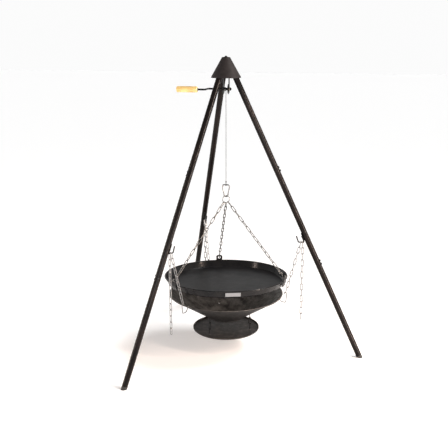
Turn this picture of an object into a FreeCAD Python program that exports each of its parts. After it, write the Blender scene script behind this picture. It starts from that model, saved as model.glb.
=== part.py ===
"""Campfire tripod with a hoisted pan over a hanging fire bowl.

Millimetres and degrees.  The origin is on the tripod's axis at the ground, +Z is up,
and the right leg stands along +X, with the rear leg at 120 and the left leg at 240 degrees.
"""
import FreeCAD, Part
import math
import os

import Sketcher
from FreeCAD import Placement, Rotation, Vector

doc = FreeCAD.newDocument("CampfireTripod")
sheet = doc.addObject("Spreadsheet::Sheet", "Dim")

DIMENSIONS = {
    # legs: three bolted tube sections each
    "lean_angle": 25, "foot_radius": 771, "tube_radius": 16, "tube_wall": 2,
    "foot_height": 14, "lower_joint": 593, "upper_joint": 1158, "leg_end": 1762.8,
    "spigot_radius": 13.8, "spigot_wall": 2.2, "spigot_length": 120,
    "bolt_radius": 3, "bolt_head_radius": 5.5, "bolt_head_height": 4, "bolt_spacing": 20,
    "foot_plug_radius": 15.6, "foot_plug_depth": 30, "slide_gap": 0.2,
    # head under the cap
    "boss_radius": 15, "boss_bottom": 1600, "neck_radius": 9, "head_spigot": 80,
    "block_bottom": 1540, "block_top": 1562, "block_front": -17, "block_back": 9,
    "cap_rim_radius": 82, "cap_rim_height": 1539, "cap_top_radius": 21.5,
    "cap_top_height": 1646, "cap_sheet": 1.5,
    "cap_bolt_radius": 4, "cap_bolt_length": 25, "cap_nut_radius": 6.5, "cap_flange_radius": 11,
    # winch
    "winch_height": 1479, "shaft_radius": 5, "cable_radius": 1.5, "drum_radius": 6.7,
    "wrap_radius": 8.5, "plate_left": -13.5, "plate_right": 17.5, "plate_thickness": 3,
    "plate_half_width": 9, "plate_top": 1558, "plate_bolt_height": 1549, "plate_eye_radius": 14,
    "flange_radius": 27, "flange_thickness": 2, "side_gap": 0.8, "bush_radius": 7,
    "bush_collar": 9, "bush_collar_thickness": 1, "running_gap": 0.05,
    "arm_position": -98, "crank_throw": 65, "bend_radius": 12, "shaft_end": 31,
    "grip_start": -140, "grip_length": 113, "grip_radius": 16.5, "grip_bore": 5.6,
    "grip_pocket_radius": 10, "grip_pocket_depth": 12, "nut_radius": 8, "nut_height": 6,
    # cable end, carabiner and ring
    "ferrule_radius": 3.4, "ferrule_bottom": 964, "ferrule_length": 12,
    "eye_radius": 6.5, "eye_height": 955.2, "thimble_radius": 1.6,
    "carabiner_top": 954.5, "carabiner_bottom": 888.5, "carabiner_half_width": 19,
    "carabiner_foot": 9.5, "carabiner_wire": 3.5, "gate_wire": 3, "carabiner_turn": -12,
    "ring_radius": 21.75, "ring_wire": 2.25, "ring_turn": 30,
    # chain
    "chain_pitch": 35, "chain_wire": 2, "chain_half_width": 6.25, "chain_slack": 0.4,
    "link_gap": 0.1, "hook_slack": 0.6,
    # pan
    "pan_height": 431, "pan_tilt": 2.9, "pan_radius": 350, "pan_bead": 3.5, "pan_depth": 38,
    "pan_taper": 14, "pan_sheet": 2, "pan_links": 14, "ear_half_width": 18.5,
    "ear_thickness": 4, "ear_rise": 31, "ear_hole_radius": 8, "ear_bar": 6, "ear_leaf": 27,
    "rivet_radius": 2.5, "rivet_head_radius": 5, "rivet_head_height": 2,
    "badge_width": 82, "badge_height": 24, "badge_thickness": 1.2,
    # fire bowl and the disc under it
    "bowl_radius": 325, "bowl_height": 328, "bowl_foot_radius": 97, "bowl_foot_height": 182,
    "bowl_sheet": 2.5, "bowl_bead": 3.2, "bowl_hole_radius": 4.5, "bowl_hole_position": 307,
    "disc_radius": 190, "disc_height": 121, "disc_depth": 10, "disc_sheet": 2,
    "hanger_position": 140, "hanger_hole_radius": 4.5, "bowl_lip": 1.4, "bowl_lip_run": 1.6,
    "bowl_foot_run": 2, "disc_chamfer": 4, "disc_corner": 5,
    # hooks and loose chains
    "s_hook_wire": 2.25, "s_hook_top": 7, "s_hook_bottom": 10, "s_hook_tail": 1,
    "s_hook_drop": 5.55, "ring_spread": 40, "ear_gap": 0.4,
    "hook_wire": 3.5, "hook_plate_position": 762, "hook_plate_length": 44,
    "hook_plate_half_width": 9, "hook_plate_thickness": 3, "hook_seat_height": 650.5,
    "load_seat": 424, "tail_seat": 434, "load_links": 9, "tail_links": 13,
    "hook_plate_lap": 0.6, "hook_shank_rise": 6, "hook_floor_radius": 410,
    "hook_tip_radius": 398, "hook_tip_rise": 34, "hook_bend": 6,
    "screw_radius": 1.5, "screw_head_radius": 2.6, "screw_head_height": 1.6,
    "screw_inset": 7, "screw_offset": 6.3, "screw_length": 8, "screw_bite": 4.5,
    # bowl's S-hooks, in the plane of each leg
    "rim_hook_tail": 11, "rim_hook_reach": 24, "rim_hook_radius": 346, "rim_hook_height": 292,
    "rim_hook_top_radius": 344, "rim_hook_top_height": 350, "rim_hook_half": 8,
    "rim_hook_bend": 6.5,
    # rods that hold the disc
    "hanger_bend": 5, "hanger_rise": 6.5, "hanger_drop": 0.3, "hanger_tip": 10,
    # long enough to go right through
    "through": 30,
}
LEGS = {"right": 0, "rear": 120, "left": 240}
PAN_EARS = {"right": -10.5, "rear": 109.5, "left": 229.5}
VIEW_AZIMUTH = -77.24  # the side from which the crank's grip is reached
UP = Vector(0, 0, 1)
U_BEND = 0.98  # a U's bend radius over half its width, so that a short flat is left

for row, (alias, size) in enumerate(DIMENSIONS.items(), start=1):
    sheet.set(f"A{row}", alias)
    sheet.set(f"B{row}", str(size))
    sheet.setAlias(f"B{row}", alias)
doc.recompute()

nodes = []


def number(formula):
    """The value of a formula over the sheet's cells."""
    return float(sheet.evalExpression(formula))


def dim(alias):
    return float(sheet.get(alias))


def bind(thing, **formulas):
    """Bind an object's sizes to the sheet.  base_x, base_y and base_z place it."""
    for name, formula in formulas.items():
        path = f"Placement.Base.{name[-1]}" if name.startswith("base_") else name
        thing.setExpression(path, str(formula))
    return thing


def node(thing, name, placement=None):
    """Name a finished sub-part, place it and list it for writing."""
    thing.Label = name
    if placement is not None:
        thing.Placement = placement
    nodes.append(thing)
    return thing


# ---------------------------------------------------------------- small makers

def cylinder(name, radius, height, **place):
    return bind(doc.addObject("Part::Cylinder", name), Radius=radius, Height=height, **place)


def rod_along_x(name, radius, length, **place):
    """A cylinder whose axis is +X from its base point."""
    rod = doc.addObject("Part::Cylinder", name)
    rod.Placement = Placement(Vector(), Rotation(Vector(0, 1, 0), 90))
    return bind(rod, Radius=radius, Height=length, **place)


def box(name, length, width, height, **place):
    return bind(doc.addObject("Part::Box", name), Length=length, Width=width, Height=height, **place)


def fuse(name, shapes):
    joined = doc.addObject("Part::MultiFuse", name)
    joined.Shapes = shapes
    return joined


def cut(name, base, tool):
    made = doc.addObject("Part::Cut", name)
    made.Base = base
    made.Tool = tool
    return made


def group(name, shapes):
    """Separate solids that share one sub-part."""
    made = doc.addObject("Part::Compound", name)
    made.Links = shapes
    return made


def feature(name, shape, placement=None):
    """A sub-part whose shape is worked out in code."""
    made = doc.addObject("Part::Feature", name)
    made.Shape = shape
    return node(made, name, placement)


def origin_plane(body, role):
    return next(item for item in body.Origin.OriginFeatures if item.Role == role)


def revolved(name, points):
    """A body turned about +Z from a closed outline, each corner bound to formulas (x, z)."""
    body = doc.addObject("PartDesign::Body", name)
    sketch = body.newObject("Sketcher::SketchObject", f"{name}_outline")
    sketch.AttachmentSupport = [(origin_plane(body, "XZ_Plane"), "")]
    sketch.MapMode = "FlatFace"
    corners = [Vector(number(x), number(z), 0) for x, z in points]
    count = len(points)
    for i in range(count):
        sketch.addGeometry(Part.LineSegment(corners[i], corners[(i + 1) % count]), False)
    for i in range(count):
        sketch.addConstraint(Sketcher.Constraint("Coincident", i, 2, (i + 1) % count, 1))
    for i, (x, z) in enumerate(points):
        pin(sketch, i, "DistanceX", -2, corners[i].x, x)
        pin(sketch, i, "DistanceY", -1, corners[i].y, z)
    turn = body.newObject("PartDesign::Revolution", f"{name}_turn")
    turn.Profile = sketch
    turn.ReferenceAxis = (sketch, ["V_Axis"])
    turn.Angle = 360
    body.Tip = turn
    return body


def pin(sketch, line, kind, axis, value, formula):
    """Fix one coordinate of a line's first point, by the axis where it is zero."""
    if abs(value) < 1e-9:
        sketch.addConstraint(Sketcher.Constraint("PointOnObject", line, 1, axis))
        return
    index = sketch.addConstraint(Sketcher.Constraint(kind, -1, 1, line, 1, value))
    sketch.setExpression(f"Constraints[{index}]", formula)


def unit(vector):
    return vector / vector.Length


def bent_rod(points, wire, bend):
    """A round rod along straight runs joined by tangent arcs."""
    edges = []
    start = points[0]
    for before, corner, after in zip(points, points[1:], points[2:]):
        arrive = unit(corner - before)
        leave = unit(after - corner)
        turn = arrive.getAngle(leave)
        setback = bend * math.tan(turn / 2)
        inward = unit(leave - arrive)
        centre = corner + inward * (bend / math.cos(turn / 2))
        first = corner - arrive * setback
        last = corner + leave * setback
        if (first - start).Length > 1e-4:
            edges.append(Part.LineSegment(start, first).toShape())
        edges.append(Part.Arc(first, centre - inward * bend, last).toShape())
        start = last
    edges.append(Part.LineSegment(start, points[-1]).toShape())
    section = Part.Wire([Part.makeCircle(wire, points[0], unit(points[1] - points[0]))])
    return Part.Wire(edges).makePipeShell([section], True, False)


def polar(radius, azimuth, height):
    angle = math.radians(azimuth)
    return Vector(radius * math.cos(angle), radius * math.sin(angle), height)


def turned(azimuth):
    return Placement(Vector(), Rotation(UP, azimuth))


def leg_frame(azimuth):
    """Local Z runs up a leg's axis from the ground, and local X is its outer side."""
    lean = Rotation(Vector(0, 1, 0), -dim("lean_angle"))
    return Placement(polar(dim("foot_radius"), azimuth, 0), Rotation(UP, azimuth).multiply(lean))


def frame_on(point, along, side):
    """A placement at point whose Z runs along, and whose X is as near side as it can be."""
    z = unit(along)
    x = unit(side - z * side.dot(z))
    y = z.cross(x)
    return Placement(FreeCAD.Matrix(x.x, y.x, z.x, point.x, x.y, y.y, z.y, point.y,
                                    x.z, y.z, z.z, point.z, 0, 0, 0, 1))


def moved(shape, placement):
    copy = shape.copy()
    copy.Placement = placement.multiply(shape.Placement)
    return copy


# ---------------------------------------------------------------- chain and hooks

def chain_link():
    """One long link about its centre: length along Z, width along X."""
    wire = dim("chain_wire")
    half_width = dim("chain_half_width")
    straight = (dim("chain_pitch") + dim("chain_slack")) / 2 + wire - half_width
    pieces = []
    for end in (1, -1):
        rim = Part.makeCircle(wire, Vector(half_width, 0, end * straight), UP)
        section = Part.Face(Part.Wire([rim]))
        pieces.append(section.revolve(Vector(0, 0, end * straight), Vector(0, -end, 0), 180))
    for side in (1, -1):
        bar = Part.makeCylinder(wire, 2 * straight, Vector(side * half_width, 0, -straight))
        pieces.append(bar)
    return pieces[0].multiFuse(pieces[1:]).removeSplitter()


LINK = chain_link()
LINK_REACH = dim("chain_pitch") / 2 + dim("chain_slack") / 2 + dim("chain_wire")  # to the bar's middle


def seat_offset(wire):
    """From the middle of the wire that a link hangs on to the link's own middle."""
    return LINK_REACH - dim("chain_wire") - wire - dim("link_gap")


def chain(seat, along, side, count, wire, last_opening=None):
    """Links hung on a wire whose middle is at seat.

    side is the first link's width.  last_opening is the way through the last link, and the
    chain twists evenly to reach it.
    """
    first = seat + along * seat_offset(wire)
    across = along.cross(side)
    twist = 0
    if last_opening is not None:
        wanted = math.degrees(math.atan2(last_opening.dot(across), last_opening.dot(side))) + 90
        twist = (wanted - 90 * (count - 1) + 90) % 180 - 90
    links = []
    for i in range(count):
        angle = math.radians(90 * i + twist * i / (count - 1))
        width = side * math.cos(angle) + across * math.sin(angle)
        links.append(moved(LINK, frame_on(first + along * (dim("chain_pitch") * i), along, width)))
    return links


def s_hook(top, bottom, side, wire, top_bend, bottom_bend, tail):
    """An S of rod.  top and bottom are the wire's middle at the crown of each loop."""
    axis = unit(top - bottom)
    across = unit(side - axis * side.dot(axis))
    upper = across * (top_bend * 1.15)
    lower = across * (bottom_bend * 1.15)
    points = [
        top - axis * (top_bend + tail) - upper,
        top - upper,
        top + upper,
        bottom - lower,
        bottom + lower,
        bottom + axis * (bottom_bend + tail) + lower,
    ]
    return bent_rod(points, wire, top_bend * 0.76)


# ---------------------------------------------------------------- legs

def leg_section(name, bottom, top, bolt_positions, placement):
    """A tube between two formulas along the leg, with its bolt holes on the outer side."""
    outer = cylinder(f"{name}_outer", "Dim.tube_radius", f"{top} - ({bottom})", base_z=bottom)
    bore = cylinder(f"{name}_bore", "Dim.tube_radius - Dim.tube_wall",
                    f"{top} - ({bottom}) + 2", base_z=f"{bottom} - 1")
    holes = [rod_along_x(f"{name}_hole{i}", "Dim.bolt_radius + 0.1", "Dim.tube_radius + 2",
                         base_z=position) for i, position in enumerate(bolt_positions)]
    node(cut(f"{name}_tube", outer, fuse(f"{name}_openings", [bore, *holes])), name, placement)


def splice_bolt(name, position):
    """A bolt along local X, its head outside the tube."""
    shank = rod_along_x(f"{name}_shank", "Dim.bolt_radius",
                        "Dim.tube_radius - Dim.spigot_radius + Dim.spigot_wall",
                        base_x="Dim.spigot_radius - Dim.spigot_wall", base_z=position)
    head = rod_along_x(f"{name}_head", "Dim.bolt_head_radius", "Dim.bolt_head_height",
                       base_x="Dim.tube_radius", base_z=position)
    return fuse(name, [shank, head])


def splice_spigot(name, joint):
    """The inner sleeve that carries a splice, with two holes on its outer side."""
    start = f"{joint} - Dim.spigot_length / 2"
    outer = cylinder(f"{name}_outer", "Dim.spigot_radius", "Dim.spigot_length", base_z=start)
    bore = cylinder(f"{name}_bore", "Dim.spigot_radius - Dim.spigot_wall",
                    "Dim.spigot_length + 2", base_z=f"{start} - 1")
    holes = [rod_along_x(f"{name}_hole{sign}", "Dim.bolt_radius + 0.1", "Dim.tube_radius",
                         base_z=f"{joint} + {sign} * Dim.bolt_spacing / 2") for sign in (-1, 1)]
    return cut(name, outer, fuse(f"{name}_openings", [bore, *holes]))


def foot_plug(name, placement):
    """A rubber plug whose sole is cut level with the ground."""
    start = "-Dim.foot_plug_radius"
    head = cylinder(f"{name}_head", "Dim.foot_plug_radius",
                    "Dim.foot_height + Dim.foot_plug_radius", base_z=start)
    stem = cylinder(f"{name}_stem", "Dim.tube_radius - Dim.tube_wall - Dim.slide_gap",
                    "Dim.foot_plug_depth", base_z="Dim.foot_height - 1")
    ground = box(f"{name}_ground", "4 * Dim.tube_radius", "4 * Dim.tube_radius", "4 * Dim.tube_radius")
    lean = Rotation(Vector(0, 1, 0), dim("lean_angle"))
    reach = 2 * dim("tube_radius")
    ground.Placement = Placement(lean.multVec(Vector(-reach, -reach, -2 * reach)), lean)
    node(cut(f"{name}_cut", fuse(f"{name}_body", [head, stem]), ground), name, placement)


def legs():
    spigots = []
    bolts = []
    for side, azimuth in LEGS.items():
        frame = leg_frame(azimuth)
        joints = ["Dim.lower_joint", "Dim.upper_joint"]
        half = "Dim.bolt_spacing / 2"
        hub_bolt = "Dim.leg_end - 25"
        leg_section(f"leg_lower_{side}", "Dim.foot_height", "Dim.lower_joint - 0.1",
                    [f"Dim.lower_joint - {half}"], frame)
        leg_section(f"leg_middle_{side}", "Dim.lower_joint + 0.1", "Dim.upper_joint - 0.1",
                    [f"Dim.lower_joint + {half}", f"Dim.upper_joint - {half}"], frame)
        leg_section(f"leg_upper_{side}", "Dim.upper_joint + 0.1", "Dim.leg_end",
                    [f"Dim.upper_joint + {half}", hub_bolt], frame)
        foot_plug(f"foot_plug_{side}", frame)
        leg_spigots = []
        leg_bolts = [splice_bolt(f"hub_bolt_{side}", hub_bolt)]
        for i, joint in enumerate(joints):
            leg_spigots.append(splice_spigot(f"spigot_{side}{i}", joint))
            for sign in (-1, 1):
                leg_bolts.append(splice_bolt(f"bolt_{side}{i}{sign}".replace("-1", "low"),
                                             f"{joint} + {sign} * {half}"))
        for name, shapes, found in (("spigots", leg_spigots, spigots), ("bolts", leg_bolts, bolts)):
            fitted = group(f"{name}_of_{side}", shapes)
            fitted.Placement = frame
            found.append(fitted)
    node(group("all_spigots", spigots), "splice_spigots")
    node(group("all_bolts", bolts), "leg_bolts")


# ---------------------------------------------------------------- head and cap

def head():
    boss = cylinder("boss", "Dim.boss_radius",
                    "Dim.cap_top_height - Dim.cap_sheet - Dim.boss_bottom", base_z="Dim.boss_bottom")
    neck = cylinder("neck", "Dim.neck_radius", "Dim.boss_bottom - Dim.block_top + 10",
                    base_z="Dim.block_top - 5")
    block = box("block", "Dim.plate_right - Dim.plate_left", "Dim.block_back - Dim.block_front",
                "Dim.block_top - Dim.block_bottom", base_x="Dim.plate_left",
                base_y="Dim.block_front", base_z="Dim.block_bottom")
    arms = []
    for side, azimuth in LEGS.items():
        arm = cylinder(f"head_arm_{side}", "Dim.spigot_radius", "Dim.head_spigot + 22")
        reach = dim("leg_end") - dim("head_spigot")
        frame = leg_frame(azimuth)
        arm.Placement = frame.multiply(Placement(Vector(0, 0, reach), Rotation()))
        socket = rod_along_x(f"head_socket_{side}", "Dim.bolt_radius + 0.1", "Dim.tube_radius")
        start = Vector(dim("spigot_radius") - dim("spigot_wall") - 1, 0, dim("leg_end") - 25)
        socket.Placement = frame.multiply(Placement(start, Rotation(Vector(0, 1, 0), 90)))
        arms.append(cut(f"head_branch_{side}", arm, socket))
    thread = cylinder("head_thread", "Dim.cap_bolt_radius + 0.1", "Dim.cap_bolt_length + 5",
                      base_z="Dim.cap_top_height - Dim.cap_bolt_length - 4")
    pins = rod_along_x("block_thread", "Dim.bolt_radius + 0.1", "60", base_x="-25",
                       base_y="-Dim.wrap_radius", base_z="Dim.plate_bolt_height")
    solid = fuse("head_solid", [boss, neck, block, *arms])
    node(cut("head_cut", solid, fuse("head_holes", [thread, pins])), "leg_hub")

    slope = "(Dim.cap_rim_radius - Dim.cap_top_radius) / (Dim.cap_top_height - Dim.cap_rim_height)"
    sheet_r = "Dim.cap_sheet * 1.13"
    node(revolved("cap", [
        ("Dim.cap_bolt_radius + 0.2", "Dim.cap_top_height"),
        ("Dim.cap_top_radius", "Dim.cap_top_height"),
        ("Dim.cap_rim_radius", "Dim.cap_rim_height"),
        (f"Dim.cap_rim_radius - {sheet_r}", "Dim.cap_rim_height"),
        (f"Dim.cap_top_radius - {sheet_r} + Dim.cap_sheet * {slope}",
         "Dim.cap_top_height - Dim.cap_sheet"),
        ("Dim.cap_bolt_radius + 0.2", "Dim.cap_top_height - Dim.cap_sheet"),
    ]), "head_cap")
    top = "Dim.cap_top_height"
    node(revolved("capbolt", [
        ("0", f"{top} - Dim.cap_bolt_length"),
        ("Dim.cap_bolt_radius", f"{top} - Dim.cap_bolt_length"),
        ("Dim.cap_bolt_radius", top),
        ("Dim.cap_flange_radius", top),
        ("Dim.cap_flange_radius", f"{top} + 1.6"),
        ("Dim.cap_nut_radius", f"{top} + 1.6"),
        ("Dim.cap_nut_radius", f"{top} + 4.6"),
        ("Dim.cap_nut_radius - 2", f"{top} + 6.6"),
        ("0", f"{top} + 7.2"),
    ]), "cap_bolt")


# ---------------------------------------------------------------- winch

def winch_plate(name, inner_face):
    """A hanging strap with a round eye for the shaft's bush."""
    strap = box(f"{name}_strap", "Dim.plate_thickness", "2 * Dim.plate_half_width",
                "Dim.plate_top - Dim.winch_height", base_x=inner_face,
                base_y="-Dim.wrap_radius - Dim.plate_half_width", base_z="Dim.winch_height")
    eye = rod_along_x(f"{name}_eye", "Dim.plate_eye_radius", "Dim.plate_thickness",
                      base_x=inner_face, base_y="-Dim.wrap_radius", base_z="Dim.winch_height")
    hole = rod_along_x(f"{name}_bore", "Dim.bush_radius", "Dim.plate_thickness + 2",
                       base_x=f"{inner_face} - 1", base_y="-Dim.wrap_radius",
                       base_z="Dim.winch_height")
    pin_hole = rod_along_x(f"{name}_pin", "Dim.bolt_radius + 0.1", "Dim.plate_thickness + 2",
                           base_x=f"{inner_face} - 1", base_y="-Dim.wrap_radius",
                           base_z="Dim.plate_bolt_height")
    node(cut(f"{name}_cut", fuse(f"{name}_solid", [strap, eye]),
             fuse(f"{name}_holes", [hole, pin_hole])), name)


def on_shaft(name, radius, start, length):
    return rod_along_x(name, radius, length, base_x=start, base_y="-Dim.wrap_radius",
                       base_z="Dim.winch_height")


def ring_on_shaft(name, radius, bore, start, length):
    return cut(name, on_shaft(f"{name}_outer", radius, start, length),
               on_shaft(f"{name}_inner", bore, f"{start} - 1", f"{length} + 2"))


def winch():
    left_out = "Dim.plate_left - Dim.plate_thickness"
    right_out = "Dim.plate_right + Dim.plate_thickness"
    winch_plate("winch_plate_left", left_out)
    winch_plate("winch_plate_right", "Dim.plate_right")

    bushes = []
    bore = "Dim.shaft_radius + Dim.running_gap"
    for name, face, collar in (
        ("left", left_out, f"{left_out} - Dim.bush_collar_thickness"),
        ("right", "Dim.plate_right", right_out),
    ):
        sleeve = on_shaft(f"bush_{name}_sleeve", "Dim.bush_radius", face, "Dim.plate_thickness")
        flange = on_shaft(f"bush_{name}_collar", "Dim.bush_collar", collar,
                          "Dim.bush_collar_thickness")
        hole = on_shaft(f"bush_{name}_bore", bore, f"{face} - 5", "15")
        bushes.append(cut(f"bush_{name}", fuse(f"bush_{name}_solid", [sleeve, flange]), hole))
    node(group("bushes", bushes), "shaft_bushes")

    heads = []
    for name, start, length, head_start in (
        ("left", left_out, "12", f"{left_out} - Dim.bolt_head_height"),
        ("right", f"{right_out} - 12", "12", right_out),
    ):
        shank = rod_along_x(f"plate_bolt_{name}_shank", "Dim.bolt_radius", length, base_x=start,
                            base_y="-Dim.wrap_radius", base_z="Dim.plate_bolt_height")
        top = rod_along_x(f"plate_bolt_{name}_head", "Dim.bolt_head_radius",
                          "Dim.bolt_head_height", base_x=head_start,
                          base_y="-Dim.wrap_radius", base_z="Dim.plate_bolt_height")
        heads.append(fuse(f"plate_bolt_{name}", [shank, top]))
    node(group("plate_bolts", heads), "winch_plate_bolts")

    shaft_y = -dim("wrap_radius")
    grip_y = shaft_y - dim("crank_throw")
    height = dim("winch_height")
    rod_end = dim("grip_start") - dim("grip_length") + 4
    rod = bent_rod([
        Vector(dim("shaft_end"), shaft_y, height),
        Vector(dim("arm_position"), shaft_y, height),
        Vector(dim("arm_position"), grip_y, height),
        Vector(rod_end, grip_y, height),
    ], dim("shaft_radius"), dim("bend_radius"))
    feature("crank_rod", rod)

    inside_left = "Dim.plate_left + Dim.side_gap"
    inside_right = "Dim.plate_right - Dim.side_gap - Dim.flange_thickness"
    core = on_shaft("drum_core", "Dim.drum_radius", inside_left,
                    f"{inside_right} - ({inside_left})")
    left_flange = on_shaft("flange_left", "Dim.flange_radius", inside_left, "Dim.flange_thickness")
    right_flange = on_shaft("flange_right", "Dim.flange_radius", inside_right,
                            "Dim.flange_thickness")
    spindle = on_shaft("drum_bore", "Dim.shaft_radius", "-30", "60")
    node(cut("drum", fuse("drum_solid", [core, left_flange, right_flange]), spindle), "cable_drum")

    wraps = []
    for i in range(1, 4):
        wrap = bind(doc.addObject("Part::Torus", f"wrap{i}"), Radius1="Dim.wrap_radius",
                    Radius2="Dim.cable_radius")
        wrap.Placement = Placement(Vector(-(2 * dim("cable_radius") + 0.02) * i, shaft_y, height),
                                   Rotation(Vector(0, 1, 0), 90))
        wraps.append(wrap)
    node(group("wraps", wraps), "cable_wraps")

    washer_start = f"{right_out} + Dim.bush_collar_thickness + 0.3"
    washer = ring_on_shaft("washer", "Dim.bush_collar", "Dim.shaft_radius", washer_start, "1.5")
    node(washer, "shaft_washer")
    lock = doc.addObject("Part::Prism", "shaft_nut_hex")
    lock.Polygon = 6
    lock.Placement = Placement(Vector(0, shaft_y, height), Rotation(Vector(0, 1, 0), 90))
    bind(lock, Circumradius="Dim.nut_radius", Height="Dim.nut_height",
         base_x=f"{washer_start} + 1.6")
    node(cut("shaft_nut_cut", lock, on_shaft("shaft_nut_bore", "Dim.shaft_radius", "20", "20")),
         "shaft_nut")

    grip_length = dim("grip_length")
    grip = revolved("grip", [
        ("Dim.grip_bore", "0"), ("Dim.grip_radius - 2.5", "0"), ("Dim.grip_radius", "3"),
        ("Dim.grip_radius", "Dim.grip_length - 3"), ("Dim.grip_radius - 2.5", "Dim.grip_length"),
        ("Dim.grip_pocket_radius", "Dim.grip_length"),
        ("Dim.grip_pocket_radius", "Dim.grip_length - Dim.grip_pocket_depth"),
        ("Dim.grip_bore", "Dim.grip_length - Dim.grip_pocket_depth"),
    ])
    along = Rotation(Vector(0, 1, 0), -90)
    node(grip, "crank_grip", Placement(Vector(dim("grip_start"), grip_y, height), along))
    collar_start = Vector(dim("grip_start") + 0.4, grip_y, height)
    collar = cut("grip_collar_cut", cylinder("grip_collar_outer", "Dim.nut_radius", "3"),
                 cylinder("grip_collar_bore", "Dim.shaft_radius", "4"))
    node(collar, "grip_collar", Placement(collar_start, Rotation(Vector(0, 1, 0), 90)))
    end_start = Vector(dim("grip_start") - grip_length + dim("grip_pocket_depth") - 0.6,
                       grip_y, height)
    end_nut = cut("grip_nut_cut", cylinder("grip_nut_outer", "Dim.nut_radius", "Dim.nut_height"),
                  cylinder("grip_nut_bore", "Dim.shaft_radius", "Dim.nut_height + 1"))
    node(end_nut, "grip_nut", Placement(end_start, along))


# ---------------------------------------------------------------- hoist cable and its hook

def hoist():
    bottom = "Dim.ferrule_bottom + Dim.ferrule_length"
    node(cylinder("cable_run", "Dim.cable_radius", f"Dim.winch_height - ({bottom})",
                  base_z=bottom), "hoist_cable")
    edge = "Dim.ferrule_radius - 1"
    node(revolved("ferrule", [
        ("0", "Dim.ferrule_bottom"), (edge, "Dim.ferrule_bottom"),
        ("Dim.ferrule_radius", "Dim.ferrule_bottom + 1.5"),
        ("Dim.ferrule_radius", f"{bottom} - 1.5"), (edge, f"{bottom}"), ("0", f"{bottom}"),
    ]), "cable_ferrule")
    eye = bind(doc.addObject("Part::Torus", "eye"), Radius1="Dim.eye_radius",
               Radius2="Dim.thimble_radius")
    eye_turn = Rotation(UP, VIEW_AZIMUTH + dim("carabiner_turn") + 90)
    node(eye, "cable_eye", Placement(Vector(0, 0, dim("eye_height")),
                                     eye_turn.multiply(Rotation(Vector(0, 1, 0), 90))))
    carabiner(Rotation(UP, VIEW_AZIMUTH + 90 + dim("carabiner_turn")))
    ring = bind(doc.addObject("Part::Torus", "ring"), Radius1="Dim.ring_radius",
                Radius2="Dim.ring_wire")
    ring_turn = Rotation(UP, VIEW_AZIMUTH + 90 + dim("ring_turn"))
    node(ring, "hanger_ring", Placement(ring_centre(),
                                        ring_turn.multiply(Rotation(Vector(1, 0, 0), 90))))


def ring_centre():
    hang = dim("carabiner_wire") + dim("ring_wire") + 0.1
    return Vector(0, 0, dim("carabiner_bottom") + hang - dim("ring_radius"))


def carabiner(turn):
    """A pear-shaped snap hook in its local XZ plane, with its gate on the +X side."""
    top = dim("carabiner_top")
    bottom = dim("carabiner_bottom")
    half = dim("carabiner_half_width")
    foot = dim("carabiner_foot")
    wire = dim("carabiner_wire")
    nose = Vector(half, 0, top - 16)
    heel = Vector(foot + 2.6, 0, bottom + 20)
    path = [
        nose,
        Vector(half, 0, top),
        Vector(-half, 0, top),
        Vector(-half, 0, top - 14),
        Vector(-foot, 0, bottom),
        Vector(foot, 0, bottom),
        heel,
    ]
    body = bent_rod(path, wire, 8.2)
    rise = unit(nose - heel)
    slot = Part.makeBox(4 * wire, 2.8, 18, Vector(-2 * wire, -1.4, -8))
    slot = moved(slot, frame_on(heel, rise, Vector(1, 0, 0)))
    hinge = heel - rise * 3.5
    pin_shape = Part.makeCylinder(1.2, 2 * wire, hinge - Vector(0, wire, 0), Vector(0, 1, 0))
    pin_hole = Part.makeCylinder(1.2, 4 * wire, hinge - Vector(0, 2 * wire, 0), Vector(0, 1, 0))
    place = Placement(Vector(), turn)
    feature("carabiner_body", body.cut(slot).cut(pin_hole), place)
    feature("gate_pin", pin_shape, place)

    length = (nose - hinge).Length - 0.8
    bar = Part.makeCylinder(dim("gate_wire"), length - 8, Vector(0, 0, 8))
    tongue = Part.makeBox(4.4, 2, 7, Vector(-2.2, -1, 1.6))
    knuckle = Part.makeCylinder(2.4, 2, Vector(0, -1, 0), Vector(0, 1, 0))
    bore = Part.makeCylinder(1.25, 6, Vector(0, -3, 0), Vector(0, 1, 0))
    gate = bar.fuse([tongue, knuckle]).cut(bore)
    gate = moved(gate, frame_on(hinge, rise, Vector(1, 0, 0)))
    feature("carabiner_gate", Part.makeCompound([gate]), place)


# ---------------------------------------------------------------- pan and its chains

def pan_frame():
    """The pan's own frame: its rim lies in local z = 0, a little low at the back."""
    lean = Rotation(Vector(math.cos(math.radians(VIEW_AZIMUTH + 90)),
                           math.sin(math.radians(VIEW_AZIMUTH + 90)), 0), -dim("pan_tilt"))
    return Placement(Vector(0, 0, dim("pan_height")), lean)


def ear_leaf_angle():
    return math.degrees(math.atan2(dim("pan_taper"), dim("pan_depth")))


def ear_shape():
    """A bent plate in the XZ plane of its azimuth: a leaf on the wall and an upright loop."""
    half = dim("ear_half_width")
    thick = dim("ear_thickness")
    face = dim("pan_radius") + 0.4
    upright = Part.makeBox(thick, 2 * half, dim("ear_rise") + 6, Vector(face, -half, -6))
    corners = [edge for edge in upright.Edges
               if edge.BoundBox.ZMin > dim("ear_rise") - 1 and edge.BoundBox.YLength < 1e-6]
    upright = upright.makeFillet(9, corners)
    hole_height = dim("ear_rise") - dim("ear_bar") - dim("ear_hole_radius")
    hole = Part.makeCylinder(dim("ear_hole_radius"), 3 * thick,
                             Vector(face - thick, 0, hole_height), Vector(1, 0, 0))
    leaf = Part.makeBox(thick, 2 * half, dim("ear_leaf"), Vector(0, -half, -dim("ear_leaf")))
    leaf.rotate(Vector(), Vector(0, 1, 0), ear_leaf_angle())
    leaf.translate(Vector(face, 0, -5))
    return upright.cut(hole).fuse(leaf).removeSplitter()


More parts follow.
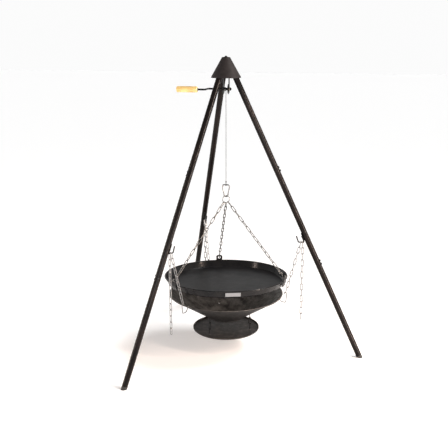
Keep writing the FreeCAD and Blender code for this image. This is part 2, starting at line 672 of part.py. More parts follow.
def rivet_axes():
    """Each ear rivet's start on the wall's outer side and its outward direction."""
    angle = math.radians(ear_leaf_angle())
    out = Vector(math.cos(angle), 0, -math.sin(angle))
    down = Vector(-math.sin(angle), 0, -math.cos(angle))
    start = Vector(dim("pan_radius") + 0.4, 0, -5) + down * 15
    return [(start + Vector(0, side * 11, 0), out) for side in (-1, 1)]


def rivet(start, out):
    shank = Part.makeCylinder(dim("rivet_radius"), dim("ear_thickness") + 6, start - out * 6, out)
    head = Part.makeCone(dim("rivet_head_radius"), dim("rivet_head_radius") * 0.6,
                         dim("rivet_head_height"), start + out * dim("ear_thickness"), out)
    return shank.fuse(head)


def pan():
    frame = pan_frame()
    edge = "Dim.pan_radius - Dim.pan_bead"
    foot = f"{edge} - Dim.pan_taper"
    shell = revolved("pan_shell", [
        ("0", "-Dim.pan_depth"), (f"{foot} - 6", "-Dim.pan_depth"), (foot, "-Dim.pan_depth + 5"),
        (edge, "0"), (f"{edge} - Dim.pan_sheet", "0"),
        (f"{foot} - Dim.pan_sheet", "-Dim.pan_depth + 6"),
        (f"{foot} - 7.5", "-Dim.pan_depth + Dim.pan_sheet"), ("0", "-Dim.pan_depth + Dim.pan_sheet"),
    ])
    bead = bind(doc.addObject("Part::Torus", "pan_rim"), Radius1=edge, Radius2="Dim.pan_bead")
    rivets = []
    for azimuth in PAN_EARS.values():
        spin = turned(azimuth)
        rivets += [moved(rivet(start, out), spin) for start, out in rivet_axes()]
    holes = doc.addObject("Part::Feature", "rivet_holes")
    holes.Shape = Part.makeCompound([item.copy() for item in rivets])
    node(cut("pan_cut", fuse("pan_solid", [shell, bead]), holes), "pan", frame)
    feature("ear_rivets", Part.makeCompound(rivets), frame)
    for side, azimuth in PAN_EARS.items():
        plate = ear_shape()
        for start, out in rivet_axes():
            plate = plate.cut(rivet(start, out))
        feature(f"pan_ear_{side}", plate, frame.multiply(turned(azimuth)))

    angle = math.radians(ear_leaf_angle())
    slope = Rotation(Vector(0, 1, 0), ear_leaf_angle())
    badge = Part.makeBox(dim("badge_thickness"), dim("badge_width"), dim("badge_height"),
                         Vector(0, -dim("badge_width") / 2, -dim("badge_height")))
    wall = dim("pan_radius") - dim("pan_bead") - 5 * math.tan(angle)
    seat = Vector(wall + 1.6, 0, -5)
    feature("badge_plate", Part.makeCompound([moved(badge, Placement(seat, slope))]),
            frame.multiply(turned(-71)))


def pan_chains():
    frame = pan_frame()
    hooks = []
    wire = dim("s_hook_wire")
    centre = ring_centre()
    ring_x = turned(VIEW_AZIMUTH + 90 + dim("ring_turn")).Rotation.multVec(Vector(1, 0, 0))
    seats = {"right": dim("ring_spread"), "rear": 0, "left": -dim("ring_spread")}
    for side, azimuth in PAN_EARS.items():
        hole_top = dim("ear_rise") - dim("ear_bar")
        middle = dim("pan_radius") + dim("ear_gap") + dim("ear_thickness") / 2
        bottom = frame.multVec(polar(middle, azimuth, hole_top - dim("s_hook_drop")))
        turn = math.radians(seats[side])
        seat = centre + (ring_x * math.sin(turn) - UP * math.cos(turn)) * dim("ring_radius")
        tangent = ring_x * math.cos(turn) + UP * math.sin(turn)
        along = unit(bottom - seat)
        across = tangent.cross(along)
        count = int(dim("pan_links"))
        outward = polar(1, azimuth, 0)
        opening = unit(outward - along * outward.dot(along))
        links = chain(seat, along, unit(across), count, dim("ring_wire"), opening)
        feature(f"pan_chain_{side}", Part.makeCompound(links))
        run = seat_offset(dim("ring_wire")) + dim("chain_pitch") * (count - 1) + seat_offset(wire)
        top = seat + along * (run - dim("hook_slack"))
        hooks.append(s_hook(top, bottom, outward, wire, dim("s_hook_top"), dim("s_hook_bottom"),
                            dim("s_hook_tail")))
    feature("pan_s_hooks", Part.makeCompound(hooks))


# ---------------------------------------------------------------- fire bowl

def wall_height(radius):
    """Height of the bowl's wall at a radius."""
    rise = dim("bowl_height") - dim("bowl_foot_height")
    run = dim("bowl_radius") - dim("bowl_foot_radius")
    return dim("bowl_foot_height") + (radius - dim("bowl_foot_radius")) * rise / run


def wall_normal():
    """Outward and down, square to the bowl's wall in its XZ plane."""
    rise = dim("bowl_height") - dim("bowl_foot_height")
    run = dim("bowl_radius") - dim("bowl_foot_radius")
    return unit(Vector(rise, 0, -run))


def fire_bowl():
    edge = "Dim.bowl_radius - Dim.bowl_bead"
    shell = revolved("bowl_shell", [
        ("0", "Dim.bowl_foot_height"), ("Dim.bowl_foot_radius", "Dim.bowl_foot_height"),
        (edge, "Dim.bowl_height - Dim.bowl_lip"),
        (f"{edge} - Dim.bowl_lip_run", "Dim.bowl_height + Dim.bowl_lip"),
        ("Dim.bowl_foot_radius - Dim.bowl_foot_run", "Dim.bowl_foot_height + Dim.bowl_sheet"),
        ("0", "Dim.bowl_foot_height + Dim.bowl_sheet"),
    ])
    bead = bind(doc.addObject("Part::Torus", "bowl_rim"), Radius1=edge, Radius2="Dim.bowl_bead",
                base_z="Dim.bowl_height")
    foot = bind(doc.addObject("Part::Torus", "bowl_foot"), Radius1="Dim.bowl_foot_radius",
                Radius2="Dim.bowl_bead", base_z="Dim.bowl_foot_height")
    holes = []
    for side, azimuth in LEGS.items():
        out = turned(azimuth).multVec(wall_normal())
        for position, radius in (("bowl_hole_position", "bowl_hole_radius"),
                                 ("hanger_position", "hanger_hole_radius")):
            middle = polar(dim(position), azimuth, wall_height(dim(position)))
            hole = doc.addObject("Part::Cylinder", f"{position}_{side}")
            bind(hole, Radius=f"Dim.{radius}", Height="Dim.through")
            hole.Placement = frame_on(middle - out * (dim("through") / 2), out, UP)
            holes.append(hole)
    node(cut("bowl_cut", fuse("bowl_solid", [shell, bead, foot]), fuse("bowl_holes", holes)),
         "fire_bowl")

    top = "Dim.disc_height"
    base = "Dim.disc_height - Dim.disc_depth"
    tray = revolved("disc_shell", [
        ("0", base), ("Dim.disc_radius - Dim.disc_chamfer", base),
        ("Dim.disc_radius", f"{base} + Dim.disc_chamfer"),
        ("Dim.disc_radius", top), ("Dim.disc_radius - Dim.disc_sheet", top),
        ("Dim.disc_radius - Dim.disc_sheet", f"{base} + Dim.disc_corner"),
        ("Dim.disc_radius - Dim.disc_corner", f"{base} + Dim.disc_sheet"),
        ("0", f"{base} + Dim.disc_sheet"),
    ])
    openings = []
    for side, azimuth in LEGS.items():
        hole = cylinder(f"disc_hole_{side}", "Dim.hanger_hole_radius", "Dim.through",
                        base_z="Dim.disc_height - Dim.through")
        middle = polar(dim("hanger_position"), azimuth, 0)
        hole.Placement = Placement(middle, Rotation())
        bind(hole, base_z="Dim.disc_height - Dim.through")
        openings.append(hole)
    node(cut("disc_cut", tray, fuse("disc_holes", openings)), "ash_disc")


def bowl_suspension():
    """Hooks on the legs, the loaded chains, their loose tails and the bowl's S-hooks."""
    wire = dim("s_hook_wire")
    rim_hooks = []
    hangers = []
    screws = []
    for side, azimuth in LEGS.items():
        spin = turned(azimuth)
        feature(f"leg_hook_{side}", leg_hook(screws, spin), spin)
        seat_z = dim("hook_seat_height")
        load = Vector(dim("load_seat"), 0, seat_z)
        apex = Vector(dim("rim_hook_top_radius"), 0, dim("rim_hook_top_height"))
        along = unit(apex - load)
        sideways = Vector(0, 1, 0)
        count = int(dim("load_links"))
        links = chain(load, along, sideways, count, dim("hook_wire"))
        run = seat_offset(dim("hook_wire")) + dim("chain_pitch") * (count - 1) + seat_offset(wire)
        crown = load + along * run
        feature(f"bowl_chain_{side}", Part.makeCompound(links), spin)
        rim_hooks.append(moved(rim_hook(crown, wire), spin))
        tail_seat = Vector(dim("tail_seat"), 0, seat_z)
        tail = chain(tail_seat, -UP, sideways, int(dim("tail_links")), dim("hook_wire"))
        feature(f"chain_tail_{side}", Part.makeCompound(tail), spin)
        hangers += [moved(piece, spin) for piece in disc_hanger(wire)]
    feature("rim_s_hooks", Part.makeCompound(rim_hooks))
    feature("disc_hangers", Part.makeCompound(hangers))
    feature("hook_screws", Part.makeCompound(screws))


def leg_hook(screws, spin):
    """A plate on the leg's inner side with a bent wire that ends in an upturned J."""
    frame = leg_frame(0)
    middle = dim("hook_plate_position")
    half = dim("hook_plate_length") / 2
    face = -dim("tube_radius") - dim("hook_plate_thickness")
    plate = Part.makeBox(dim("hook_plate_thickness"), 2 * dim("hook_plate_half_width"), 2 * half,
                         Vector(face, -dim("hook_plate_half_width"), middle - half))
    inset = dim("screw_inset")
    for height in (middle - half + inset, middle + half - inset):
        start = Vector(face - dim("screw_head_height"), 0, height)
        if height < middle:
            start = start + Vector(0, dim("screw_offset"), 0)
        shank = Part.makeCylinder(dim("screw_radius"), dim("screw_length"), start,
                                  Vector(1, 0, 0))
        head = Part.makeCylinder(dim("screw_head_radius"), dim("screw_head_height"), start,
                                 Vector(1, 0, 0))
        plate = plate.cut(shank)
        wide = dim("through")
        bite = Part.makeBox(dim("screw_bite"), wide, wide, start - Vector(0, wide / 2, wide / 2))
        screws.append(moved(moved(shank.common(bite).fuse(head), frame), spin))
    inner = face - dim("hook_wire") + dim("hook_plate_lap")
    shank_top = frame.multVec(Vector(inner, 0, middle + dim("hook_shank_rise")))
    shank_foot = frame.multVec(Vector(inner, 0, middle - half))
    seat_z = dim("hook_seat_height")
    slope = math.tan(math.radians(dim("lean_angle")))
    heel = Vector(shank_foot.x + (shank_foot.z - seat_z) * slope, 0, seat_z)
    wire_shape = bent_rod([
        shank_top,
        heel,
        Vector(dim("hook_floor_radius"), 0, seat_z),
        Vector(dim("hook_tip_radius"), 0, seat_z + dim("hook_tip_rise")),
    ], dim("hook_wire"), dim("hook_bend"))
    return moved(plate, frame).fuse(wire_shape)


def rim_hook(crown, wire):
    """An S-hook that passes through the bowl's hole and up round its rim."""
    hole = Vector(dim("bowl_hole_position"), 0, wall_height(dim("bowl_hole_position")))
    out = wall_normal()
    half = dim("rim_hook_half")
    tail = dim("rim_hook_tail")
    points = [
        hole - out * tail,
        hole + out * dim("rim_hook_reach"),
        Vector(dim("rim_hook_radius"), 0, dim("rim_hook_height")),
        crown + Vector(half, 0, 0),
        crown + Vector(-half, 0, 0),
        crown + Vector(-half, 0, -tail),
    ]
    return bent_rod(points, wire, dim("rim_hook_bend"))


def disc_hanger(wire):
    """Two hooked rods and the link between them, from the bowl's wall down to the disc."""
    radius = dim("hanger_position")
    bend = dim("hanger_bend")
    high = Vector(radius, 0, wall_height(radius) + wire + dim("hanger_rise"))
    under_disc = dim("disc_height") - dim("disc_depth")
    low = Vector(radius, 0, under_disc - wire - dim("hanger_drop"))
    reach = seat_offset(wire)
    middle = (high + low) / 2 + Vector(0, bend, 0)
    link = moved(LINK, frame_on(middle, UP, Vector(1, 0, 0)))
    return [hooked_rod(high, middle.z + reach, -1, bend, wire), link,
            hooked_rod(low, middle.z - reach, 1, bend, wire)]


def hooked_rod(end, seat_z, open_way, bend, wire):
    """A rod turned flat at its end, with a U at seat_z that opens up (-1) or down (1)."""
    lip = Vector(0, 2 * bend, 0)
    foot = Vector(end.x, 0, seat_z)
    return bent_rod([end - lip, end, foot, foot + lip,
                     foot + lip - UP * (open_way * dim("hanger_tip"))], wire, bend * U_BEND)


# ---------------------------------------------------------------- build and write

legs()
head()
winch()
hoist()
pan()
pan_chains()
fire_bowl()
bowl_suspension()
doc.recompute()

for item in doc.Objects:
    if "Invalid" in item.State or "Error" in item.State:
        raise RuntimeError(f"{item.Name} failed: {item.State}")
os.makedirs("parts", exist_ok=True)
for sub_part in nodes:
    shape = sub_part.Shape
    if shape.isNull() or not shape.isValid() or not shape.Solids:
        raise RuntimeError(f"{sub_part.Label} has no valid solid")
    shape.exportStep(f"parts/{sub_part.Label}.step")
print(len(nodes), "sub-parts written")
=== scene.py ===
"""Looks for the campfire tripod: materials, twisted-wire cable, light and camera."""
import math

import bpy
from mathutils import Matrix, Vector


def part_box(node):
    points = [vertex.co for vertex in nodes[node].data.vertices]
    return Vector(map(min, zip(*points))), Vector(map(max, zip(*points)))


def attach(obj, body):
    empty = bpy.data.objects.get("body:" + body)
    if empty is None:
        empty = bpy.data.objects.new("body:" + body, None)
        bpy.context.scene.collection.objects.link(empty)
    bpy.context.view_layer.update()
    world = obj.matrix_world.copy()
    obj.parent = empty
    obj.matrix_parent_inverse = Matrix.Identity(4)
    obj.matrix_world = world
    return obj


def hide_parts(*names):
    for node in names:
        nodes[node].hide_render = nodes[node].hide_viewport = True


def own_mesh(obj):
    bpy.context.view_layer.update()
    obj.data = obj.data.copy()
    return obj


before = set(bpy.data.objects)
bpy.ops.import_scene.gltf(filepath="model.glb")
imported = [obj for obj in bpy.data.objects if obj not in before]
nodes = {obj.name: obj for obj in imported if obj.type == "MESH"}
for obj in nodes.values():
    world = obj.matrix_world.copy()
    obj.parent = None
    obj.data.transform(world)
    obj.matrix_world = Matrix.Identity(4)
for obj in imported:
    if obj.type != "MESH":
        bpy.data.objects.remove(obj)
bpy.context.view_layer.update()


# ---------------------------------------------------------------- node helpers

class Surface:
    """One procedural material. Scales are per metre of the shared frame."""

    def __init__(self, name, color, roughness, metallic=0.0, **sockets):
        self.material = bpy.data.materials.new(name)
        self.material.use_nodes = True
        self.tree = self.material.node_tree
        self.shader = self.tree.nodes["Principled BSDF"]
        self.shader.inputs["Base Color"].default_value = (*color, 1)
        self.shader.inputs["Roughness"].default_value = roughness
        self.shader.inputs["Metallic"].default_value = metallic
        for socket, value in sockets.items():
            self.shader.inputs[socket.replace("_", " ")].default_value = value
        self.place = self.add("ShaderNodeTexCoord").outputs["Object"]
        self.last_bump = None

    def add(self, kind, **values):
        made = self.tree.nodes.new(kind)
        for name, value in values.items():
            setattr(made, name, value)
        return made

    def link(self, a, b):
        self.tree.links.new(a, b)

    def stretched(self, scale=(1, 1, 1), turn=(0, 0, 0)):
        """The place, turned and then scaled."""
        turned = self.add("ShaderNodeMapping")
        turned.inputs["Rotation"].default_value = turn
        self.link(self.place, turned.inputs["Vector"])
        scaled = self.add("ShaderNodeMapping")
        scaled.inputs["Scale"].default_value = scale
        self.link(turned.outputs[0], scaled.inputs["Vector"])
        return scaled.outputs[0]

    def noise(self, scale, detail=4.0, rough=0.55, place=None):
        made = self.add("ShaderNodeTexNoise")
        made.inputs["Scale"].default_value = scale
        made.inputs["Detail"].default_value = detail
        made.inputs["Roughness"].default_value = rough
        self.link(place or self.place, made.inputs["Vector"])
        return made.outputs[0]

    def cells(self, scale, out="Distance"):
        made = self.add("ShaderNodeTexVoronoi", feature="F1")
        made.inputs["Scale"].default_value = scale
        self.link(self.place, made.inputs["Vector"])
        return made.outputs[out]

    def ramp(self, source, *stops):
        """stops are (position, colour); a colour may be one grey value."""
        made = self.add("ShaderNodeValToRGB")
        line = made.color_ramp
        while len(line.elements) < len(stops):
            line.elements.new(0.5)
        for element, (position, color) in zip(line.elements, stops):
            if not isinstance(color, tuple):
                color = (color, color, color)
            element.position = position
            element.color = (*color, 1)
        self.link(source, made.inputs["Fac"])
        return made.outputs["Color"]

    def blend(self, factor, a, b, mode="MIX"):
        made = self.add("ShaderNodeMix", data_type="RGBA", blend_type=mode)
        for socket, value in ((made.inputs[0], factor), (made.inputs[6], a), (made.inputs[7], b)):
            if isinstance(value, (int, float)):
                socket.default_value = value
            elif isinstance(value, tuple):
                socket.default_value = (*value, 1)
            else:
                self.link(value, socket)
        return made.outputs[2]

    def maths(self, operation, a, b=0.0):
        made = self.add("ShaderNodeMath", operation=operation)
        for socket, value in zip(made.inputs, (a, b)):
            if isinstance(value, (int, float)):
                socket.default_value = value
            else:
                self.link(value, socket)
        return made.outputs[0]

    def facing_up(self):
        geometry = self.add("ShaderNodeNewGeometry")
        made = self.add("ShaderNodeSeparateXYZ")
        self.link(geometry.outputs["Normal"], made.inputs[0])
        return made.outputs[2]

    def color(self, source):
        self.link(source, self.shader.inputs["Base Color"])

    def roughness(self, source, low, high):
        made = self.add("ShaderNodeMapRange")
        made.inputs["To Min"].default_value = low
        made.inputs["To Max"].default_value = high
        self.link(source, made.inputs["Value"])
        self.link(made.outputs[0], self.shader.inputs["Roughness"])

    def bump(self, source, depth, strength=1.0):
        made = self.add("ShaderNodeBump")
        made.inputs["Strength"].default_value = strength
        made.inputs["Distance"].default_value = depth
        self.link(source, made.inputs["Height"])
        if self.last_bump is not None:
            self.link(self.last_bump, made.inputs["Normal"])
        self.last_bump = made.outputs[0]
        self.link(self.last_bump, self.shader.inputs["Normal"])


def finish_of(names, surface):
    for name in names:
        data = nodes[name].data
        if not data.materials:
            data.materials.append(None)
        for material_slot in nodes[name].material_slots:
            material_slot.material = surface.material


def starting(*prefixes):
    return [n for n in nodes if n.startswith(prefixes)]


# ---------------------------------------------------------------- materials

BROWN_BLACK = (0.0085, 0.0068, 0.0062)
NEAR_BLACK = (0.006, 0.006, 0.0065)


def leg_enamel():
    """Stove enamel: glossy, a little orange peel, warm-brown where it is thin, pale specks."""
    s = Surface("leg_enamel", BROWN_BLACK, 0.15, IOR=1.2)
    broad = s.noise(9, 5, 0.6)
    tone = s.ramp(broad, (0.3, (0.004, 0.0034, 0.0034)), (0.55, (0.0085, 0.0064, 0.0058)),
                  (0.8, (0.019, 0.0125, 0.0105)))
    specks = s.ramp(s.cells(420), (0.0, 1.0), (0.09, 0.0))
    chance = s.ramp(s.noise(60, 2), (0.56, 0.0), (0.62, 1.0))
    s.color(s.blend(s.maths("MULTIPLY", specks, chance), tone, (0.06, 0.045, 0.038)))
    s.roughness(s.noise(35, 6, 0.65), 0.07, 0.2)
    s.bump(s.noise(620, 2, 0.5), 0.00005, 0.35)
    s.bump(s.noise(70, 2, 0.5), 0.0002, 0.12)
    return s


def cap_coating():
    s = Surface("cap_coating", (0.02, 0.017, 0.017), 0.55, IOR=1.25)
    tone = s.ramp(s.noise(26, 6, 0.6), (0.25, (0.013, 0.011, 0.011)),
                  (0.75, (0.025, 0.021, 0.0208)))
    grain = s.ramp(s.noise(900, 2, 0.6), (0.35, 0.7), (0.7, 1.25))
    s.color(s.blend(1.0, tone, grain, "MULTIPLY"))
    s.roughness(s.noise(120, 4, 0.6), 0.46, 0.66)
    s.bump(s.noise(1150, 2, 0.6), 0.00012, 0.5)
    return s


def black_steel():
    s = Surface("black_steel", NEAR_BLACK, 0.38, IOR=1.22)
    rubbed = s.ramp(s.noise(140, 8, 0.7), (0.58, 0.0), (0.72, 1.0))
    s.color(s.blend(rubbed, (0.008, 0.008, 0.0085), (0.035, 0.033, 0.032)))
    s.roughness(s.noise(210, 5, 0.6), 0.26, 0.5)
    s.bump(s.noise(900, 3, 0.6), 0.00006, 0.4)
    return s


def rubber():
    s = Surface("foot_rubber", (0.012, 0.012, 0.012), 0.7)
    s.color(s.ramp(s.noise(90, 6, 0.6), (0.3, 0.009), (0.75, (0.035, 0.032, 0.028))))
    s.roughness(s.noise(150, 4), 0.6, 0.85)
    s.bump(s.noise(700, 3, 0.6), 0.0002, 0.5)
    return s


def zinc(name, dark, light, low, high, smoke=None):
    """Galvanised steel: faint crystal patches, brighter where it rubs, duller in between."""
    s = Surface(name, light, 0.35, metallic=1.0)
    patches = s.cells(330, out="Color")
    grey = s.add("ShaderNodeRGBToBW")
    s.link(patches, grey.inputs[0])
    tone = s.ramp(grey.outputs[0], (0.15, dark), (0.85, light))
    veil = s.ramp(s.noise(75, 6, 0.65), (0.3, 0.78), (0.7, 1.08))
    tone = s.blend(1.0, tone, veil, "MULTIPLY")
    if smoke:
        sooty = s.ramp(s.noise(38, 5, 0.65), (0.45, 0.0), (0.72, 0.85))
        tone = s.blend(sooty, tone, smoke)
    s.color(tone)
    s.roughness(s.noise(190, 5, 0.6), low, high)
    s.bump(s.noise(800, 3, 0.6), 0.00008, 0.35)
    return s


def stranded(name):
    s = Surface(name, (0.66, 0.66, 0.66), 0.3, metallic=1.0)
    s.color(s.ramp(s.noise(260, 4), (0.3, (0.06, 0.06, 0.06)), (0.7, (0.2, 0.2, 0.2))))
    s.roughness(s.noise(300, 4), 0.2, 0.42)
    s.bump(s.noise(2400, 2, 0.6), 0.00003, 0.4)
    return s


def brass():
    s = Surface("bush_brass", (0.55, 0.4, 0.16), 0.35, metallic=1.0)
    s.color(s.ramp(s.noise(180, 5), (0.3, (0.4, 0.28, 0.1)), (0.75, (0.66, 0.5, 0.24))))
    s.roughness(s.noise(400, 4), 0.28, 0.5)
    s.bump(s.noise(500, 3, place=s.stretched((6, 1, 1))), 0.00005, 0.4)
    return s


def pine():
    """Varnished pine, its grain along the grip: light early wood, darker late wood, pores."""
    s = Surface("grip_pine", (0.7, 0.48, 0.24), 0.3, Coat_Weight=0.45, Coat_Roughness=0.18)
    along = s.stretched((0.09, 1, 1))
    warp = s.noise(46, 3, 0.5, place=along)
    shifted = s.add("ShaderNodeVectorMath", operation="MULTIPLY_ADD")
    s.link(warp, shifted.inputs[0])
    shifted.inputs[1].default_value = (0.014, 0.014, 0.014)
    s.link(along, shifted.inputs[2])
    rings = s.add("ShaderNodeTexWave", wave_type="BANDS", bands_direction="DIAGONAL",
                  wave_profile="SAW")
    rings.inputs["Scale"].default_value = 62
    rings.inputs["Distortion"].default_value = 2.2
    rings.inputs["Detail"].default_value = 3
    s.link(shifted.outputs[0], rings.inputs["Vector"])
    wood = s.ramp(rings.outputs["Fac"], (0.0, (0.78, 0.59, 0.26)), (0.62, (0.7, 0.49, 0.18)),
                  (0.9, (0.5, 0.3, 0.09)), (1.0, (0.74, 0.54, 0.23)))
    fibres = s.ramp(s.noise(1500, 3, 0.7, place=s.stretched((0.035, 1, 1))), (0.36, 0.8),
                    (0.6, 1.06))
    wood = s.blend(1.0, wood, fibres, "MULTIPLY")
    smoked = s.ramp(s.noise(42, 5), (0.4, (1.0, 1.0, 1.0)), (0.8, (0.84, 0.78, 0.7)))
    s.color(s.blend(1.0, wood, smoked, "MULTIPLY"))
    s.roughness(s.noise(160, 4), 0.24, 0.42)
    s.bump(fibres, 0.00006, 0.5)
    return s


def pan_enamel():
    """Vitreous enamel: deep gloss, tiny pale flecks, a film of dried oil in broad patches."""
    s = Surface("pan_enamel", (0.006, 0.0063, 0.007), 0.12, IOR=1.22)
    flecks = s.ramp(s.cells(300), (0.0, 1.0), (0.11, 0.0))
    chance = s.ramp(s.noise(500, 1), (0.5, 0.0), (0.6, 1.0))
    tone = s.ramp(s.noise(14, 5, 0.6), (0.3, (0.0055, 0.0058, 0.0066)),
                  (0.75, (0.013, 0.0125, 0.0125)))
    s.color(s.blend(s.maths("MULTIPLY", flecks, chance), tone, (0.13, 0.135, 0.145)))
    worn = s.ramp(s.facing_up(), (0.8, 0.0), (0.99, 1.0))
    film = s.noise(20, 6, 0.65)
    s.roughness(s.maths("ADD", s.maths("MULTIPLY", worn, 0.75), s.maths("MULTIPLY", film, 0.4)),
                0.06, 0.5)
    s.bump(s.noise(160, 2), 0.00018, 0.18)
    return s


def badge_steel():
    """Plain stainless plate, brushed along its length. It carries nothing."""
    s = Surface("badge_steel", (0.42, 0.42, 0.42), 0.3, metallic=1.0)
    brushed = s.noise(1400, 3, 0.7, place=s.stretched((0.02, 1, 1), (0, 0, math.radians(-19))))
    s.color(s.ramp(brushed, (0.3, (0.2, 0.205, 0.21)), (0.7, (0.36, 0.365, 0.37))))
    s.roughness(brushed, 0.24, 0.42)
    s.bump(brushed, 0.00004, 0.5)
    return s


def bowl_coating():
    """Heat-resistant coating with dense pale specks outside, and ash dust lying inside."""
    s = Surface("bowl_coating", (0.012, 0.0115, 0.0115), 0.55, IOR=1.25)
    tone = s.ramp(s.noise(11, 6, 0.65), (0.28, (0.006, 0.0058, 0.0058)),
                  (0.75, (0.018, 0.0168, 0.0162)))
    fine = s.ramp(s.cells(520), (0.0, 1.0), (0.2, 0.0))
    chance = s.ramp(s.noise(240, 3), (0.5, 0.0), (0.6, 1.0))
    tone = s.blend(s.maths("MULTIPLY", fine, chance), tone, (0.11, 0.105, 0.1))
    up = s.ramp(s.facing_up(), (0.35, 0.0), (0.6, 1.0))
    dust = s.ramp(s.noise(24, 8, 0.7), (0.36, 0.15), (0.64, 0.95))
    s.color(s.blend(s.maths("MULTIPLY", up, dust), tone, (0.2, 0.19, 0.178)))
    s.roughness(s.noise(60, 6, 0.65), 0.4, 0.72)
    s.bump(s.noise(520, 4, 0.65), 0.00025, 0.5)
    s.bump(s.noise(28, 3), 0.0008, 0.15)
    return s


def disc_coating():
    s = Surface("disc_coating", (0.02, 0.018, 0.017), 0.5, IOR=1.25)
    tone = s.ramp(s.noise(16, 6, 0.65), (0.3, (0.013, 0.0112, 0.0102)),
                  (0.72, (0.03, 0.026, 0.0235)))
    up = s.ramp(s.facing_up(), (0.7, 0.0), (0.95, 1.0))
    dust = s.ramp(s.noise(34, 8, 0.7), (0.48, 0.0), (0.78, 0.4))
    s.color(s.blend(s.maths("MULTIPLY", up, dust), tone, (0.16, 0.145, 0.135)))
    s.roughness(s.noise(80, 5, 0.65), 0.34, 0.62)
    s.bump(s.noise(700, 3, 0.6), 0.00015, 0.4)
    return s


enamel = leg_enamel()
steel_black = black_steel()
cable_surface = stranded("cable_steel")
fittings = zinc("zinc_fittings", (0.42, 0.42, 0.42), (0.6, 0.6, 0.59), 0.24, 0.45)
hardware = zinc("zinc_hardware", (0.14, 0.14, 0.14), (0.3, 0.3, 0.3), 0.2, 0.4)
leg_chains = zinc("chain_zinc", (0.18, 0.18, 0.18), (0.42, 0.42, 0.42), 0.22, 0.36)
pan_links = zinc("pan_chain_steel", (0.12, 0.118, 0.113), (0.28, 0.275, 0.265), 0.26, 0.46,
                 smoke=(0.09, 0.085, 0.08))
rivets = zinc("rivet_steel", (0.1, 0.1, 0.1), (0.2, 0.2, 0.2), 0.3, 0.5)
pine_surface = pine()

finish_of(starting("leg_lower", "leg_middle", "leg_upper"), enamel)
finish_of(["head_cap"], cap_coating())
finish_of(starting("foot_plug"), rubber())
finish_of(starting("leg_hook", "winch_plate") + ["leg_hub", "crank_rod", "cable_drum", "shaft_nut",
          "leg_bolts", "cap_bolt", "hook_screws", "disc_hangers"], steel_black)
finish_of(["shaft_bushes"], brass())
finish_of(["shaft_washer", "grip_collar", "grip_nut", "splice_spigots", "gate_pin"], fittings)
finish_of(["hoist_cable", "cable_wraps", "cable_eye", "cable_ferrule"], cable_surface)
finish_of(["carabiner_body", "carabiner_gate", "hanger_ring"], hardware)
finish_of(starting("pan_chain") + ["pan_s_hooks", "rim_s_hooks"], pan_links)
finish_of(starting("bowl_chain", "chain_tail"), leg_chains)
finish_of(["pan"] + starting("pan_ear"), pan_enamel())
finish_of(["ear_rivets"], rivets)
finish_of(["badge_plate"], badge_steel())
finish_of(["fire_bowl"], bowl_coating())
finish_of(["ash_disc"], disc_coating())
finish_of(["crank_grip"], pine_surface)


# ---------------------------------------------------------------- mesh pieces

def add_mesh(name, verts, faces, surface):
    data = bpy.data.meshes.new(name)
    data.from_pydata(verts, [], faces)
    data.polygons.foreach_set("use_smooth", [True] * len(data.polygons))
    data.materials.append(surface.material)
    data.update()
    made = bpy.data.objects.new(name, data)
    bpy.context.scene.collection.objects.link(made)
    return made


CABLE_RADIUS = 0.0015
WIRE = CABLE_RADIUS / 3
CORE_WIRE = WIRE * 1.05
LAY = 0.016  # length of one full twist
OUTER_WIRES = 6
WIRE_SIDES = 6
RUN_STEP = 0.0014
WRAP_PITCH = 3.02e-3
WRAP_TURNS = 4
WRAP_STEPS = 64


def strands(path, across, up, closed, count, helix, wire, verts, faces):
    """Adds wires twisted round a line. path, across and up give the line's frame at each step."""
    steps = len(path)
    length = sum((path[i + 1] - path[i]).length for i in range(steps - 1))
    if closed:
        length += (path[0] - path[-1]).length
    turns = max(1, round(length / LAY)) if closed else length / LAY
    last = steps if closed else steps - 1
    for k in range(count):
        phase = 2 * math.pi * k / count
        start = len(verts)
        for i in range(steps):
            share = i / last
            angle = phase + 2 * math.pi * turns * share
            middle = path[i] + (across[i] * math.cos(angle) + up[i] * math.sin(angle)) * helix
            for j in range(WIRE_SIDES):
                ring = 2 * math.pi * j / WIRE_SIDES
                rim = across[i] * math.cos(ring) + up[i] * math.sin(ring)
                verts.append(tuple(middle + rim * wire))
        for i in range(last):
            a, b = start + i * WIRE_SIDES, start + ((i + 1) % steps) * WIRE_SIDES
            for j in range(WIRE_SIDES):
                n = (j + 1) % WIRE_SIDES
                faces.append((a + j, a + n, b + n, b + j))


def rope(path, across, up, closed, verts, faces):
    """Adds the outer wires and the core of one cable."""
    strands(path, across, up, closed, OUTER_WIRES, CABLE_RADIUS - WIRE, WIRE, verts, faces)
    strands(path, across, up, closed, 1, 0.0, CORE_WIRE, verts, faces)


run_low, run_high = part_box("hoist_cable")
wraps_low, wraps_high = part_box("cable_wraps")
run_top, run_bottom = run_high.z, run_low.z
run_steps = int((run_top - run_bottom) / RUN_STEP)
line = [Vector((0, 0, run_top + (run_bottom - run_top) * i / run_steps))
        for i in range(run_steps + 1)]
verts, faces = [], []
X, Y, Z = Vector((1, 0, 0)), Vector((0, 1, 0)), Vector((0, 0, 1))
rope(line, [X] * len(line), [Y] * len(line), False, verts, faces)
cable = add_mesh("twisted_cable", verts, faces, cable_surface)
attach(cable, "tripod")
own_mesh(cable)
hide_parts("hoist_cable")


def ring_frame(centre, radius, side, along, count):
    """A circle's points, with the outward and sideways directions at each."""
    normal = side.cross(along)
    points, outs = [], []
    for i in range(count):
        angle = 2 * math.pi * i / count
        out = side * math.cos(angle) + along * math.sin(angle)
        outs.append(out)
        points.append(centre + out * radius)
    return points, outs, [normal] * count


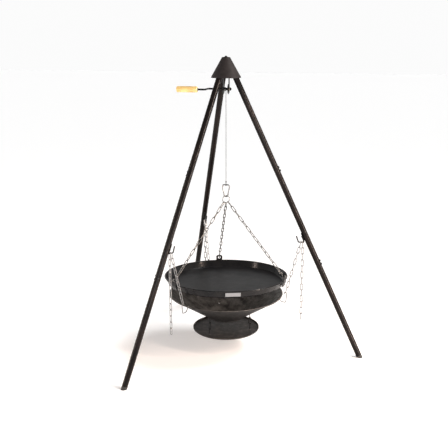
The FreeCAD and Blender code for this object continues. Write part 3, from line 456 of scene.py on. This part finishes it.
verts, faces = [], []
axle_y, axle_z = (wraps_low.y + wraps_high.y) / 2, (wraps_low.z + wraps_high.z) / 2
pitch_radius = (wraps_high.z - wraps_low.z) / 2 - CABLE_RADIUS
for i in range(WRAP_TURNS):
    x = -WRAP_PITCH * i
    points, outs, normals = ring_frame(Vector((x, axle_y, axle_z)), pitch_radius, Y, Z,
                                       WRAP_STEPS)
    rope(points, outs, normals, True, verts, faces)
turns = add_mesh("wound_cable", verts, faces, cable_surface)
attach(turns, "crank")
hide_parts("cable_wraps")


# ---------------------------------------------------------------- floor, light and camera

FLOOR_HALF = 30
SKY_LOW, SKY_HIGH = 0.97, 0.16
SUN_POWER, SUN_ANGLE, SUN_AIM = 2.3, math.radians(24), (-0.62, -0.28, -1.0)
RIGHT_POWER, LEFT_POWER, FRONT_POWER = 150, 44, 26
RIGHT_TINT, LEFT_TINT = (1.0, 0.8, 0.68), (1.0, 0.82, 0.72)
CAMERA_SENSOR, CAMERA_LENS, CAMERA_SHIFT = 36, 61.0, -0.0044
CAMERA_SPOT = (0.912, -4.028, 1.777)
CAMERA_TILT, CAMERA_TURN = math.radians(75.78), math.radians(12.76)

floor_data = bpy.data.meshes.new("floor")
floor_corners = [(x * FLOOR_HALF, y * FLOOR_HALF, 0)
                 for x, y in ((-1, -1), (1, -1), (1, 1), (-1, 1))]
floor_data.from_pydata(floor_corners, [], [(0, 1, 2, 3)])
floor = bpy.data.objects.new("floor", floor_data)
bpy.context.scene.collection.objects.link(floor)
paper = Surface("pale_floor", (0.93, 0.93, 0.93), 0.85, Specular_IOR_Level=0.2,
                Emission_Color=(1, 1, 1, 1), Emission_Strength=0.1)
paper.color(paper.ramp(paper.noise(3, 3), (0.3, 0.945), (0.7, 0.96)))
floor_data.materials.append(paper.material)

world = bpy.data.worlds.new("studio")
bpy.context.scene.world = world
world.use_nodes = True
backdrop = world.node_tree.nodes["Background"]
backdrop.inputs["Strength"].default_value = 1.0
sky_place = world.node_tree.nodes.new("ShaderNodeTexCoord")
sky_parts = world.node_tree.nodes.new("ShaderNodeSeparateXYZ")
sky_ramp = world.node_tree.nodes.new("ShaderNodeValToRGB")
world.node_tree.links.new(sky_place.outputs["Generated"], sky_parts.inputs[0])
world.node_tree.links.new(sky_parts.outputs[2], sky_ramp.inputs["Fac"])
world.node_tree.links.new(sky_ramp.outputs["Color"], backdrop.inputs["Color"])
sky_ramp.color_ramp.elements[0].position = 0.3
sky_ramp.color_ramp.elements[0].color = (SKY_LOW, SKY_LOW, SKY_LOW, 1)
sky_ramp.color_ramp.elements[1].position = 0.6
sky_ramp.color_ramp.elements[1].color = (SKY_HIGH, SKY_HIGH, SKY_HIGH, 1)


def area_light(name, spot, aim, size, power, color=(1, 1, 1)):
    data = bpy.data.lights.new(name, "AREA")
    data.shape = "RECTANGLE"
    data.size, data.size_y = size
    data.energy = power
    data.color = color
    made = bpy.data.objects.new(name, data)
    made.location = spot
    made.rotation_euler = (Vector(aim) - Vector(spot)).to_track_quat("-Z", "Y").to_euler()
    bpy.context.scene.collection.objects.link(made)


sun_data = bpy.data.lights.new("sun", "SUN")
sun_data.energy = SUN_POWER
sun_data.angle = SUN_ANGLE
sun = bpy.data.objects.new("sun", sun_data)
sun.rotation_euler = Vector(SUN_AIM).to_track_quat("-Z", "Y").to_euler()
bpy.context.scene.collection.objects.link(sun)
area_light("right strip", (2.6, -0.9, 1.3), (0, 0, 0.8), (0.18, 2.6), RIGHT_POWER, RIGHT_TINT)
area_light("left strip", (-2.4, -1.6, 1.3), (0, 0, 0.8), (0.12, 2.6), LEFT_POWER, LEFT_TINT)
area_light("front", (0.9, -3.4, 1.4), (0, 0, 0.35), (1.4, 0.8), FRONT_POWER)

camera_data = bpy.data.cameras.new("camera")
camera_data.sensor_width = CAMERA_SENSOR
camera_data.lens = CAMERA_LENS
camera_data.shift_x = CAMERA_SHIFT
camera = bpy.data.objects.new("camera", camera_data)
camera.location = CAMERA_SPOT
camera.rotation_euler = (CAMERA_TILT, 0, CAMERA_TURN)
bpy.context.scene.collection.objects.link(camera)
bpy.context.scene.camera = camera

bpy.context.scene.view_settings.view_transform = "Standard"
